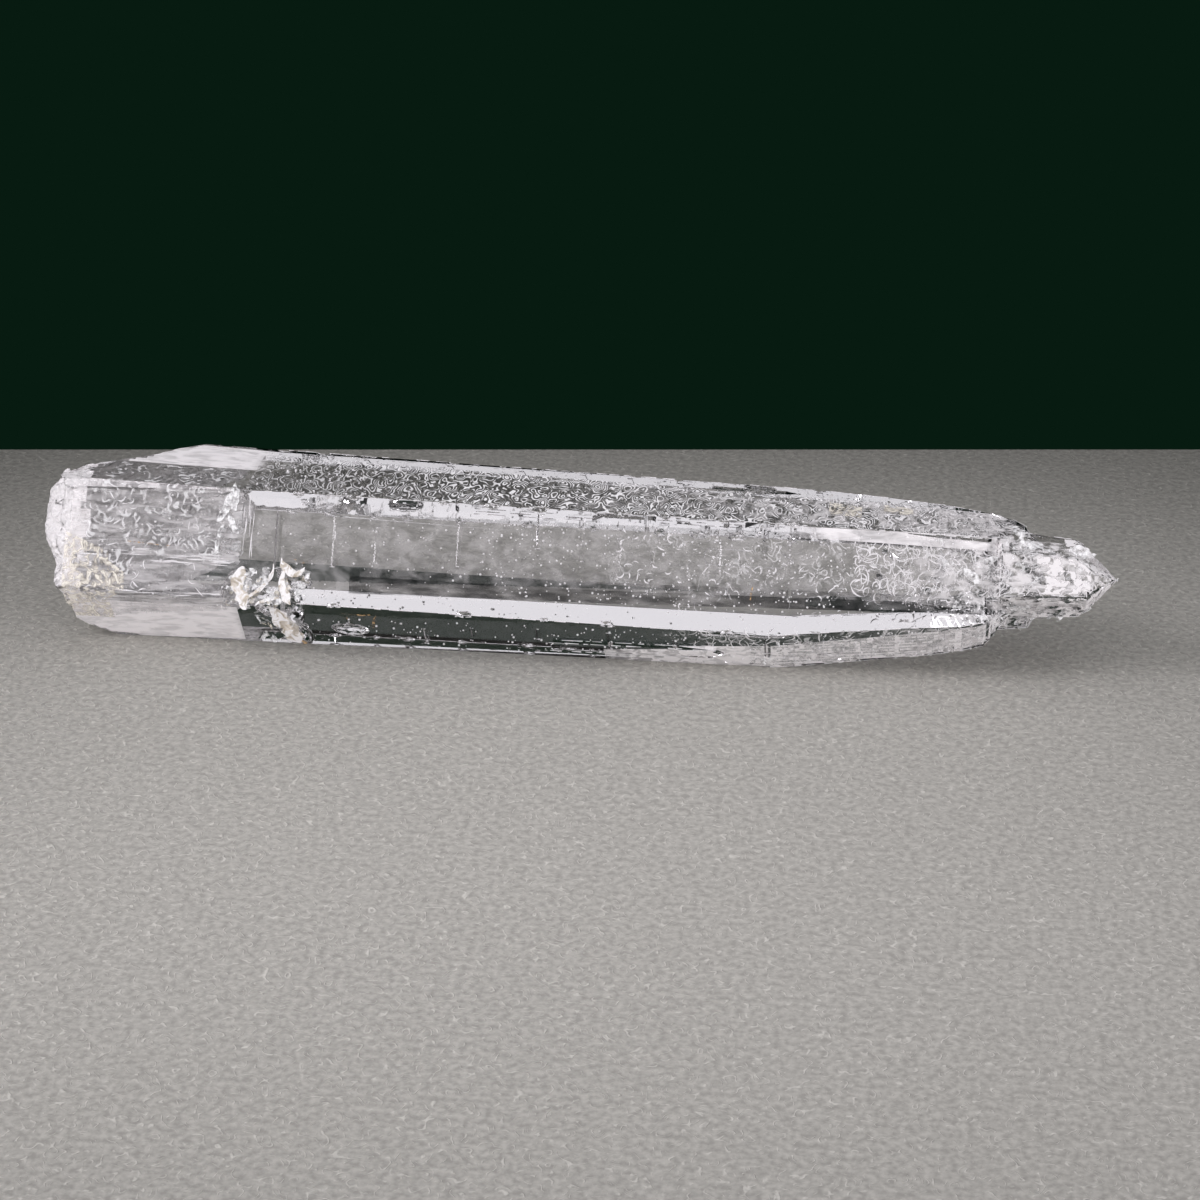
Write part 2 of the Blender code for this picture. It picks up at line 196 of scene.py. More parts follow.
STROKE_ZONES = (
    (Zone("front_upper", (31.0, 47.5), (-3.4, 3.6), (-0.05, 0.0)), 240, 1.6, 3.4, ANY_TURN),
    (Zone("front_upper", (5.0, 33.0), (-3.6, 5.2), (-0.05, 0.0)), 90, 0.8, 3.0, ANY_TURN),
    (Zone("front_upper", (-55.0, -40.0), (-4.0, 8.0), (-0.05, 0.0)), 90, 1.0, 3.0, ANY_TURN),
    (Zone("front_upper", (-54.0, -38.0), (2.0, 3.4), (-0.05, 0.0)), 26, 2.6, 0.1, 0),
    (Zone("front_upper", (-52.0, -38.0), (6.6, 8.0), (-0.05, 0.0)), 26, 3.0, 0.1, 0),
    (Zone("front_upper", (-36.2, -34.4), (-4.0, 2.0), (-0.05, 0.0)), 8, 2.6, 0.0, 90),
    (Zone("front_lower", (14.0, 46.0), (-2.8, 2.8), (-0.05, 0.0)), 240, 1.4, 3.0, ANY_TURN),
    (Zone("top", (28.0, 47.0), (-3.5, 3.5), (-0.05, 0.0)), 110, 1.3, 2.5, ANY_TURN),
    (Zone("front_upper", (48.0, 57.5), (-3.0, 2.4), (-0.05, 0.0)), 60, 1.1, 3.0, ANY_TURN),
)
STROKE_WIDTH = (0.06, 0.18)
STROKE_TAPER = 3.2  # 4 would bring a stroke's ends to a point
STRAIGHT = 0.05  # bends under this count as none

FLAKE_CUP = 0.08
SPLINTER_ZONES = (
    (Zone("front_upper", (-39.5, -36.3), (-5.9, 3.0), (0.2, 1.2)), 60, 1.1, 50.0),
    (Zone("front_upper", (-37.8, -34.5), (4.0, 8.0), (-0.3, 0.1)), 30, 1.2, 30.0),
    (Zone("front_upper", (-35.0, -28.5), (3.4, 7.2), (-0.3, 0.2)), 50, 1.1, 40.0),
    (Zone("front_lower", (-34.5, -29.0), (-3.3, 3.0), (-0.3, 0.2)), 40, 1.1, 40.0),
    (Zone("front_upper", (40.0, 48.0), (-3.2, 3.2), (-0.1, 0.5)), 60, 1.0, 50.0),
    (Zone("front_upper", (42.0, 48.5), (2.6, 4.6), (-0.1, 0.1)), 30, 1.2, 30.0),
    (Zone("front_upper", (48.0, 57.0), (-2.8, 2.2), (-0.1, 0.5)), 50, 1.1, 45.0),
    (Zone("top", (36.0, 48.0), (-3.5, 3.0), (0.2, 1.0)), 40, 1.1, 50.0),
    (Zone("front_lower", (44.5, 51.0), (-3.4, 2.6), (-0.1, 0.3)), 55, 1.3, 40.0),
    (Zone("front_lower", (50.0, 57.5), (-3.0, 2.2), (-0.1, 0.3)), 26, 1.1, 40.0),
    (Zone("front_upper", (47.6, 50.6), (-4.4, -2.4), (-0.2, 0.3)), 26, 1.5, 35.0),
    (Zone("front_lower", (18.0, 45.0), (-2.8, 2.6), (-0.1, 0.2)), 60, 0.9, 35.0),
)
STAIN_ZONES = (
    (Zone("front_upper", (-37.5, -34.6), (4.2, 7.8), (-0.3, 0.0)), 10, 1.2, 25.0),
    (Zone("front_upper", (-34.8, -28.6), (4.0, 7.2), (-0.3, 0.0)), 18, 1.0, 35.0),
    (Zone("front_lower", (-34.0, -29.2), (-3.2, 2.8), (-0.3, 0.0)), 12, 1.1, 30.0),
)

# Curled shells of chipped quartz: where they lie, how they are turned on the face, their
# length, width and bend, how far they are lifted and how they lean off the face.
Shell = namedtuple("Shell", "face x along turn length width bend lift lean", defaults=(0.0,))
SHELL_RAGGED = 0.4  # as a share of a shell's width
STAINED_SHELLS = (
    Shell("front_upper", -36.3, 5.0, 96.0, 3.4, 1.4, 0.4, 0.08),
    Shell("front_upper", -35.7, 6.8, 70.0, 2.8, 1.3, -0.6, 0.08),
    Shell("front_upper", -30.6, 3.7, 20.0, 3.8, 0.9, 2.6, 0.3),
    Shell("front_upper", -31.2, 5.6, 75.0, 4.0, 0.9, 0.9, 0.25),
    Shell("front_lower", -31.8, -1.8, 62.0, 4.0, 2.0, -0.6, 0.4, -22.0),
    Shell("front_lower", -30.9, 0.3, 75.0, 3.9, 2.0, 0.5, 0.3, -16.0),
    Shell("front_upper", -33.4, 5.4, -50.0, 3.2, 0.4, 0.9, 0.15),
    Shell("front_upper", -34.3, 6.2, -38.0, 3.0, 0.4, 0.8, 0.15),
    Shell("front_upper", -33.0, 6.9, -20.0, 2.8, 0.4, -0.7, 0.15),
    Shell("front_upper", -32.6, 4.2, -70.0, 2.6, 0.3, 1.2, 0.15),
)
RUST_RIMS = (
    Shell("front_lower", -23.1, -3.0, 0.0, 3.4, 0.3, 0.3, 0.06),
    Shell("front_lower", -21.5, -1.4, 100.0, 3.2, 0.3, 0.5, 0.06),
    Shell("front_lower", -24.3, -1.9, 70.0, 2.2, 0.25, 0.4, 0.06),
    Shell("front_lower", -30.1, 2.4, 20.0, 1.4, 0.7, 0.4, 0.3),
    Shell("front_upper", -29.4, 2.6, 10.0, 1.8, 0.3, 0.8, 0.35),
    Shell("front_upper", -47.0, 1.4, 4.0, 6.0, 0.16, 0.1, 0.06),
    Shell("front_upper", 20.0, 3.4, 96.0, 2.6, 0.16, 0.3, 0.1),
)
WHITE_SHELLS = (
    Shell("front_upper", -37.4, -4.3, 84.0, 3.2, 1.5, 0.3, 0.06),
    Shell("front_upper", -38.3, -3.0, 112.0, 3.6, 0.9, -0.5, 0.1),
    Shell("front_upper", -37.4, -1.2, 60.0, 2.6, 0.8, 0.6, 0.08),
    Shell("front_upper", -38.8, 0.6, 98.0, 4.4, 0.5, 0.5, 0.08),
    Shell("top", 48.6, 1.8, 60.0, 3.4, 1.6, 0.8, 0.1),
    Shell("front_upper", 49.2, -3.6, 60.0, 3.0, 1.1, 0.6, 0.1),
    Shell("front_upper", 47.3, -2.2, 85.0, 3.6, 0.5, 0.2, 0.06),
    Shell("front_upper", 43.6, 0.2, 40.0, 2.4, 1.1, 0.5, 0.06),
    Shell("front_upper", 45.2, -1.4, -30.0, 2.6, 0.9, 0.9, 0.06),
    Shell("front_upper", 55.4, -3.0, 12.0, 3.0, 1.3, 0.3, 0.06),
    Shell("front_upper", 52.0, -2.6, 30.0, 2.4, 0.8, 0.6, 0.06),
)

# ---------------------------------------------------------------- stage
CAMERA_PLACE = (37.34, -283.16, 136.56)
CAMERA_DIP = 24.92
CAMERA_TURN = 7.0
CAMERA_LENS = 84.0
BACKDROP = "#081b11"

# Rectangular diffusers: place, turn about X and then Z, size, radiance and spread.
LAMP_TINT = (0.98, 0.95, 1.0)
LAMPS = {
    "overhead_softbox": ((4.0, -74.0, 72.7), (-2.6, 0.0), (184.0, 242.0), 0.8, 180.0),
    "key_lamp": ((-200.0, -95.0, 195.0), (51.3, -79.4), (130.0, 130.0), 0.75, 50.0),
    "left_panel": ((-150.0, -110.0, 30.0), (84.0, -50.0), (90.0, 44.0), 3.6, 110.0),
    "right_panel": ((170.0, -100.0, 30.0), (84.0, 55.0), (90.0, 44.0), 3.6, 110.0),
}

FELT_BEHIND = 55.2
FELT_BEFORE = 420.0
FELT_HALF_WIDTH = 420.0
FELT_DROP = 0.06  # the crystal touches the tips of the fibres, a hair above their ground


# ---------------------------------------------------------------- small helpers
def linear(hex_colour):
    """An sRGB hex colour such as "#aabbcc" as linear RGBA."""
    channels = [int(hex_colour[i : i + 2], 16) / 255 for i in (1, 3, 5)]
    return (*(c / 12.92 if c <= 0.04045 else ((c + 0.055) / 1.055) ** 2.4 for c in channels), 1.0)


def add_node(tree, kind, inputs=None, **settings):
    """Add a shader node; an input is a plain value or the output of another node."""
    node = tree.nodes.new(kind)
    for name, value in settings.items():
        setattr(node, name, value)
    for name, value in (inputs or {}).items():
        if isinstance(value, bpy.types.NodeSocket):
            tree.links.new(value, node.inputs[name])
        else:
            node.inputs[name].default_value = value
    return node


def new_material(name):
    """A material with its node tree, its shader and the place on the crystal in metres."""
    material = bpy.data.materials.new(name)
    material.use_nodes = True
    tree = material.node_tree
    place = add_node(tree, "ShaderNodeTexCoord").outputs["Object"]
    return material, tree, tree.nodes["Principled BSDF"], place


def add_piece(name, bm, materials):
    """Turn a finished mesh into a piece of the crystal."""
    mesh = bpy.data.meshes.new(name)
    bm.to_mesh(mesh)
    bm.free()
    piece = bpy.data.objects.new(name, mesh)
    bpy.context.scene.collection.objects.link(piece)
    for material in materials:
        mesh.materials.append(material)
    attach(piece, "root")
    return piece


def radial(roll):
    """The direction away from the crystal's axis, `roll` degrees round it from +Y."""
    angle = math.radians(roll)
    return Vector((0.0, math.cos(angle), math.sin(angle)))


def face_spot(name, x, along):
    """The place on a grown face's ideal plane, that plane's outward normal and its sideways."""
    face = PRISM[name]
    out = radial(face.roll)
    side = Vector((1.0, 0.0, 0.0)).cross(out)
    distance = face.distance - x * math.tan(math.radians(face.taper))
    return Vector((x, AXIS_Y, AXIS_Z)) + out * distance + side * along, out, side


def on_plane(name, x, along, lift):
    """Matrix at a spot `lift` over a grown face's ideal plane: +Z outwards, +X along the crystal."""
    spot, out, side = face_spot(name, x, along)
    turn = Matrix((side.cross(out), -side, out)).transposed().to_4x4()
    return Matrix.Translation((spot + out * lift) * MM) @ turn @ Matrix.Scale(MM, 4)


def on_surface(name, x, along, depth=0.0):
    """Matrix at a spot `depth` under the real surface: +Z outwards, +X along the crystal.

    It is None where the face has no surface, beyond its edge or its end."""
    spot, out, _ = face_spot(name, x, along)
    hit, normal, _, _ = SURFACE.ray_cast((spot + out * RAY_START) * MM, -out, RAY_LENGTH * MM)
    if hit is None:
        return None
    across = normal.cross(Vector((1.0, 0.0, 0.0))).normalized()
    turn = Matrix((across.cross(normal), across, normal)).transposed().to_4x4()
    return Matrix.Translation(hit - normal * depth * MM) @ turn @ Matrix.Scale(MM, 4)


# ---------------------------------------------------------------- materials
QUARTZ_IOR = 1.544
FILM_IOR = 1.05  # low, so that a film adds no shine of its own
VEIL_MIDDLE = 0.51  # the level of the noise at which a veil is half there
VEIL_WANDER = 1.2  # how far the edge of a veil wanders


def map_range(tree, value, low, high, to_low=0.0, to_high=1.0):
    """A value's range from `low` to `high` stretched to another range and cut off there."""
    limits = {"Value": value, "From Min": low, "From Max": high, "To Min": to_low, "To Max": to_high}
    return add_node(tree, "ShaderNodeMapRange", limits).outputs[0]


def combine(tree, operation, *values):
    """One step of arithmetic on one or two values."""
    return add_node(tree, "ShaderNodeMath", dict(enumerate(values)), operation=operation).outputs[0]


def grains(tree, place, size, detail=2.0, distortion=0.0, across=None):
    """Noise with grains `size` mm wide, or `size` mm long and `across` mm wide."""
    scale = 1 / (size * MM)
    if across:
        stretch = (scale, 1 / (across * MM), 1 / (across * MM))
        place = add_node(tree, "ShaderNodeMapping", {"Vector": place, "Scale": stretch}).outputs[0]
        scale = 1.0
    look = {"Vector": place, "Scale": scale, "Detail": detail, "Distortion": distortion}
    return add_node(tree, "ShaderNodeTexNoise", look).outputs["Fac"]


def two_tones(tree, value, first, second, start=0.0, stop=1.0):
    """From one hex colour, where the value is at `start`, to the other at `stop`."""
    ramp = add_node(tree, "ShaderNodeValToRGB", {"Fac": value})
    for stop_point, position, tone in zip(ramp.color_ramp.elements, (start, stop), (first, second)):
        stop_point.position = position
        stop_point.color = linear(tone)
    return ramp.outputs["Color"]


def raise_grain(tree, shader, height, distance):
    """Bump: the height, from 0 to 1, stands up by `distance` mm."""
    settings = {"Height": height, "Distance": distance * MM, "Strength": 1.0}
    bump = add_node(tree, "ShaderNodeBump", settings)
    tree.links.new(bump.outputs["Normal"], shader.inputs["Normal"])


def etch_pattern(tree, place, curl, density):
    """Winding, nested lines: the level lines of a slow noise `curl` mm wide."""
    turns = combine(tree, "MULTIPLY", grains(tree, place, curl, 0.6), density)
    return combine(tree, "SINE", turns)


def patches(tree, place, size, low, high):
    """Soft-edged islands, `size` mm wide, of what the noise leaves above `low`."""
    return map_range(tree, grains(tree, place, size), low, high)


def as_quartz(shader, tint="#fcfbfc", transmission=1.0, roughness=0.0):
    """Quartz's own numbers, whatever its surface is like."""
    shader.inputs["Base Color"].default_value = linear(tint)
    shader.inputs["Transmission Weight"].default_value = transmission
    shader.inputs["IOR"].default_value = QUARTZ_IOR
    shader.inputs["Roughness"].default_value = roughness


def as_film(shader, roughness=0.5, ior=FILM_IOR):
    """A flaw's numbers: it scatters light, and has hardly any gloss of its own."""
    shader.inputs["Roughness"].default_value = roughness
    shader.inputs["IOR"].default_value = ior


def clear_quartz():
    """Rock crystal: colourless, mirror bright, with faint growth striations across its length."""
    material, tree, shader, place = new_material("clear_quartz")
    raise_grain(tree, shader, grains(tree, place, 0.7, across=9.0), 0.004)
    as_quartz(shader)
    return material


def etched_quartz():
    """The same crystal where it was dissolved: grooves fine enough to break up what is seen through."""
    material, tree, shader, place = new_material("etched_quartz")
    grooves = map_range(tree, etch_pattern(tree, place, 1.5, 36.0), 0.2, 0.9)
    height = combine(tree, "MULTIPLY", grooves, patches(tree, place, 3.0, 0.38, 0.55))
    raise_grain(tree, shader, height, 0.003)
    as_quartz(shader)
    return material


def frosted_break():
    """Broken and partly healed quartz: a sugary skin like melting ice, white where it scatters."""
    material, tree, shader, place = new_material("frosted_break")
    raise_grain(tree, shader, grains(tree, place, 0.8, 3.0), 0.5)
    as_quartz(shader, "#fdfafa", transmission=0.15, roughness=0.22)
    return material


def etch_lines(name, curl, density, stretch, patch_low, cover, painted_shade, growth):
    """Etch grooves: winding threads with one wall white, and painted shade on the other wall and over
    the ground between them, in patches.

    The threads are drawn a few times as wide as real grooves, so that they show."""
    material, tree, shader, spot = new_material(name)
    scale = (1.0, 1.0 / stretch, 1.0 / stretch)
    place = add_node(tree, "ShaderNodeMapping", {"Vector": spot, "Scale": scale}).outputs[0]
    wave = etch_pattern(tree, place, curl, density)
    walls = map_range(tree, wave, -1.0, 1.0)
    # the dark end of this ramp is painted shade on the threads' shaded wall
    tree.links.new(two_tones(tree, walls, "#242628", "#ffffff", 0.58, 0.64), shader.inputs["Base Color"])
    broken = patches(tree, place, 0.9, 0.4, 0.5)
    bright = combine(tree, "MULTIPLY", map_range(tree, wave, 0.3, 0.62), broken)
    # painted shade over the ground between the threads, up to the given strength
    painted_dark = map_range(tree, wave, 0.25, 0.0, 0.0, painted_shade)
    area = patches(tree, place, 2.6, patch_low, patch_low + 0.14)
    along = add_node(tree, "ShaderNodeSeparateXYZ", {"Vector": place}).outputs["X"]
    grown = map_range(tree, along, growth[0] * MM, growth[1] * MM, 0.0, cover)
    seen = combine(tree, "MULTIPLY", combine(tree, "ADD", bright, painted_dark), area)
    tree.links.new(combine(tree, "MULTIPLY", seen, grown), shader.inputs["Alpha"])
    as_film(shader)
    return material


def milky_veil(name, streaks, cover, growth=(-90.0, -89.0), fading=(90.0, 91.0), softness=0.13):
    """Healed cracks full of tiny bubbles: a white haze in streaks, growing and fading along X."""
    material, tree, shader, place = new_material(name)
    haze = grains(tree, place, streaks[0], 6.0, 0.6, across=streaks[1])
    density = map_range(tree, haze, VEIL_MIDDLE - softness, VEIL_MIDDLE + softness, *cover)
    along = add_node(tree, "ShaderNodeSeparateXYZ", {"Vector": place}).outputs["X"]
    wander = combine(tree, "MULTIPLY", map_range(tree, haze, 0.3, 0.7, -1.0, 1.0), VEIL_WANDER * MM)
    along = combine(tree, "ADD", along, wander)
    grown = map_range(tree, along, growth[0] * MM, growth[1] * MM)
    left = map_range(tree, along, fading[0] * MM, fading[1] * MM, 1.0, 0.0)
    seen = combine(tree, "MULTIPLY", density, combine(tree, "MULTIPLY", grown, left))
    tree.links.new(seen, shader.inputs["Alpha"])
    shader.inputs["Base Color"].default_value = linear("#fdfafa")
    as_film(shader)
    return material


def painted_shadow_wisp():
    """Painted shadow: long dark strips that stand for the crystal's shadow on the felt behind it, seen
    through the upper front face, soft at their rims.
    """
    material, tree, shader, place = new_material("painted_shadow_wisp")
    shadow_strips = grains(tree, place, 4.0, 4.0, across=0.9)
    tree.links.new(map_range(tree, shadow_strips, 0.34, 0.6, 0.08, 0.5), shader.inputs["Alpha"])
    # the dark tones of the painted shadow
    tree.links.new(two_tones(tree, shadow_strips, "#2a2b2c", "#161718"), shader.inputs["Base Color"])
    as_film(shader, 0.6)
    return material


def crack_white():
    """Splintered quartz along cracks: white, ragged and thin enough to look through in places."""
    material, tree, shader, place = new_material("crack_white")
    tree.links.new(patches(tree, place, 0.5, 0.36, 0.62), shader.inputs["Alpha"])
    shader.inputs["Base Color"].default_value = linear("#ffffff")
    as_film(shader, 0.35, 1.3)
    return material


def shell_white():
    """Chipped quartz with a breath of iron: pearly white to cream, denser in streaks."""
    material, tree, shader, place = new_material("shell_white")
    cloud = grains(tree, place, 0.9, 5.0, 1.2)
    tree.links.new(two_tones(tree, cloud, "#eadcc6", "#fffdfc", 0.38, 0.52), shader.inputs["Base Color"])
    tree.links.new(map_range(tree, cloud, 0.34, 0.55, 0.45, 1.0), shader.inputs["Alpha"])
    as_film(shader, 0.3, 1.4)
    return material


def iron_stain(name, thick, thin):
    """Limonite film: from its colour where it lies thick to its colour where it thins out."""
    material, tree, shader, place = new_material(name)
    cloud = grains(tree, place, 1.1, 7.0, 1.6)
    tree.links.new(two_tones(tree, cloud, thick, thin, 0.35, 0.6), shader.inputs["Base Color"])
    tree.links.new(map_range(tree, cloud, 0.44, 0.62, 0.0, 0.9), shader.inputs["Alpha"])
    as_film(shader, 0.7)
    return material


def bubble_white():
    """Pin-point bubbles: bright grains under the surface, a little uneven in tone."""
    material, tree, shader, place = new_material("bubble_white")
    mottle = grains(tree, place, 2.0)
    tree.links.new(two_tones(tree, mottle, "#d8d4d6", "#ffffff"), shader.inputs["Base Color"])
    as_film(shader, 0.4)
    return material


def pale_felt():
    """Short-haired pale grey felt: matt, with curled single fibres catching the light on top."""
    material, tree, shader, place = new_material("pale_felt")
    ground = grains(tree, place, 0.7, 4.0)
    curls = map_range(tree, etch_pattern(tree, place, 1.7, 42.0), 0.55, 0.95)
    fibre = combine(tree, "MULTIPLY", curls, patches(tree, place, 0.9, 0.46, 0.6))
    tones = {
        "Factor": combine(tree, "MULTIPLY", fibre, 0.45),
        "A": two_tones(tree, ground, "#a09e98", "#bcbab3", 0.34, 0.66),
        "B": linear("#e6e4dc"),
    }
    lit = add_node(tree, "ShaderNodeMix", tones, data_type="RGBA")
    tree.links.new(lit.outputs["Result"], shader.inputs["Base Color"])
    raise_grain(tree, shader, combine(tree, "ADD", ground, fibre), 0.06)
    shader.inputs["Roughness"].default_value = 0.95
    shader.inputs["Specular IOR Level"].default_value = 0.2
    return material


# ---------------------------------------------------------------- the crystal body
CLEAR, ETCHED, FROSTED = range(3)  # the body's materials


def grown_face(face):
    """Name of the grown face that a face of the mesh belongs to, or None on broken surfaces."""
    for name, grown in PRISM.items():
        lean = math.radians(grown.taper)
        normal = radial(grown.roll) * math.cos(lean) + Vector((math.sin(lean), 0.0, 0.0))
        if face.normal.dot(normal) > FACE_MATCH:
            return name
    return None


def body_mesh():
    """The solid's own mesh, closed, with flat facets merged."""
    bm = bmesh.new()
    bm.from_mesh(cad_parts["quartz_crystal"].data)
    bmesh.ops.remove_doubles(bm, verts=bm.verts, dist=MERGE_DISTANCE)
    bmesh.ops.dissolve_limit(bm, angle_limit=FLAT_ANGLE, verts=bm.verts, edges=bm.edges)
    bm.normal_update()
    return bm


def soften_ladder(bm):
    """Nearly fill the fine cross grooves, so that they only show as faint lines."""
    for vert in bm.verts:
        spot = vert.co / MM
        if not LADDER_X[0] < spot.x < LADDER_X[1]:
            continue
        for name in LADDER_FACES:
            plane, out, _ = face_spot(name, spot.x, 0.0)
            depth = (plane - spot).dot(out)
            if LADDER_DEPTH[0] < depth < LADDER_DEPTH[1]:
                vert.co += out * depth * LADDER_FILL * MM


def slice_up(bm, wanted, axis, start, stop, cell):
    """Cut the wanted faces along evenly spaced planes."""
    normal = Vector([float(axis == i) for i in range(3)])
    for step in range(math.ceil((stop - start) / cell)):
        faces = [face for face in bm.faces if wanted(face)]
        edges = {edge for face in faces for edge in face.edges}
        verts = {vert for face in faces for vert in face.verts}
        place = normal * (start + step * cell) * MM
        bmesh.ops.bisect_plane(bm, geom=[*faces, *edges, *verts], plane_co=place, plane_no=normal)


def reaches_frost(face, limit):
    """Whether a face lies on the break itself or nearer to the base than `limit`."""
    x = face.calc_center_median().x / MM
    return x < limit or (x < BREAK_BACK_END and grown_face(face) is None)


def mark_frost(bm):
    """Slice up the broken end, and give its faces the frosted skin, with a ragged edge."""
    whole = bm.verts[:] + bm.edges[:] + bm.faces[:]
    limit = FROST_END + FROST_RAGGED
    edge = Vector((limit * MM, 0.0, 0.0))
    bmesh.ops.bisect_plane(bm, geom=whole, plane_co=edge, plane_no=Vector(FROST_EDGE_NORMAL))
    for axis, (start, stop) in enumerate(FROST_SPAN):
        slice_up(bm, lambda face: reaches_frost(face, limit), axis, start, stop, FROST_CELL)
    frosted = []
    for face in bm.faces:
        ragged = noise.noise(face.calc_center_median() / MM / FROST_RAGGED_WIDTH)
        if reaches_frost(face, FROST_END + 2.0 * FROST_RAGGED * ragged):
            face.material_index = FROSTED
            frosted.append(face)
    bmesh.ops.triangulate(bm, faces=frosted)
    bm.normal_update()


def roughen_break(bm):
    """Cover the broken end with small lumps, sunk into it."""
    mark_frost(bm)
    frosted = [face for face in bm.faces if face.material_index == FROSTED]
    skin = {vert for face in frosted for vert in face.verts}
    for vert in [v for v in skin if all(face.material_index == FROSTED for face in v.link_faces)]:
        lump = sum(weight * noise.noise(vert.co / (width * MM)) for width, weight in FROST_LUMPS)
        vert.co -= vert.normal * FROST_DEPTH * (1.0 + lump) * MM
    for face in frosted:
        face.smooth = True


def add_crack(bm, place, length, width, rng):
    """An open crack: a thin rippled lens of air inside the quartz, so its walls face inwards."""
    made = bmesh.ops.create_icosphere(bm, subdivisions=3, radius=1.0)["verts"]
    shift = Vector((rng.uniform(-9, 9), rng.uniform(-9, 9), rng.uniform(-9, 9)))
    curl = rng.uniform(-CRACK_CURL, CRACK_CURL)
    for vert in made:
        ragged = 1.0 + CRACK_RAGGED * noise.noise(vert.co * 1.7 + shift)
        x = vert.co.x * length / 2 * ragged
        y = vert.co.y * width / 2 * ragged
        ripple = CRACK_RIPPLE * noise.noise(Vector((x, y, 0.0)) * 1.4 + shift)
        bow = curl * x * x / max(length, width)
        vert.co = Vector((x, y, vert.co.z * CRACK_GAP + ripple + bow))
    bmesh.ops.transform(bm, matrix=place, verts=made)
    walls = {face for vert in made for face in vert.link_faces}
    for face in walls:
        face.smooth = True
        face.material_index = CLEAR
    bmesh.ops.reverse_faces(bm, faces=list(walls))


def random_turn(rng, tilt):
    """A turn about the face's normal, then a tilt of up to `tilt` degrees out of the face."""
    spin = Matrix.Rotation(rng.uniform(0.0, 2 * math.pi), 4, "Z")
    lean = Matrix.Rotation(math.radians(rng.uniform(-tilt, tilt)), 4, "Y")
    return spin @ lean


def random_spot(rng, zone):
    """A random place in a zone of a face, as the matrix of that spot."""
    while True:
        x, along, depth = rng.uniform(*zone.x), rng.uniform(*zone.along), rng.uniform(*zone.depth)
        place = on_surface(zone.face, x, along, depth)
        if place:
            return place


def body_surface():
    """The solid's surface, to lay flaws on."""
    bm = body_mesh()
    tree = BVHTree.FromBMesh(bm)
    bm.free()
    return tree


def crystal_body():
    """The crystal itself: etched on top, frosted at the break and cracked near its ends."""
    rng = random.Random(5)
    bm = body_mesh()
    for face in bm.faces:
        if grown_face(face) == "top" and face.calc_center_median().x / MM > CLEAR_START:
            face.material_index = ETCHED
    soften_ladder(bm)
    roughen_break(bm)
    for zone, count, size in CRACK_ZONES:
        for _ in range(count):
            length = size * rng.uniform(0.6, 1.4)
            width = length * rng.uniform(0.4, 0.8)
            add_crack(bm, random_spot(rng, zone) @ random_turn(rng, 60.0), length, width, rng)
    finishes = [clear_quartz(), etched_quartz(), frosted_break()]
    piece = add_piece("quartz_body", bm, finishes)
    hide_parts("quartz_crystal")


# ---------------------------------------------------------------- films on the faces
def film_spot(name, start, end, share, across, lift):
    """The place of one point of a film, drawn in from its rim until it lies on the face."""
    x, low, high = (first + share * (last - first) for first, last in zip(start, end))
    goal = float(across < FILM_TURNING)
    for slide in range(FILM_SLIDES):
        inwards = across + (goal - across) * slide / FILM_SLIDES
        place = on_surface(name, x, low + inwards * (high - low), -lift)
        if place:
            return place.translation
    return None


def drape(bm, name, start, end, lift):
    """Lay a film over a face, from its start to its end, `lift` above it."""
    columns = max(2, round((end[0] - start[0]) / FILM_CELL))
    rows = max(2, round(max(start[2] - start[1], end[2] - end[1]) / FILM_CELL))
    made = bmesh.ops.create_grid(bm, x_segments=columns, y_segments=rows, size=0.5)["verts"]
    missed = []
    for vert in made:
        spot = film_spot(name, start, end, vert.co.x + 0.5, vert.co.y + 0.5, lift)
        if spot is None:
            missed.append(vert)
        else:
            vert.co = spot
    bmesh.ops.delete(bm, geom=missed, context="VERTS")
    bmesh.ops.dissolve_degenerate(bm, dist=1e-6, edges=bm.edges)


def film_piece(name, material):
    """One piece of film, which rays from inside the clear quartz pass by."""
    bm = bmesh.new()
    for film in FILMS[name]:
        drape(bm, *film)
    bmesh.ops.recalc_face_normals(bm, faces=bm.faces)
    piece = add_piece(name, bm, [material])
    piece.visible_transmission = False


def etch_threads():
    """The etch figures: dense on top, sparse in front, coarse and open at the base."""
    # the seventh number of each call is the strength of the painted shade between the threads
    on_top = etch_lines("etch_on_top", 1.35, 62.0, 1.7, 0.24, 1.0, 0.5, (-58.0, -8.0))
    film_piece("top_threads", on_top)
    on_front = etch_lines("etch_on_front", 1.5, 50.0, 1.0, 0.44, 0.6, 0.08, (-12.0, 40.0))
    film_piece("front_threads", on_front)
    on_base = etch_lines("etch_on_base", 1.2, 26.0, 1.0, 0.42, 0.6, 0.3, (-60.0, -59.0))
    film_piece("base_threads", on_base)


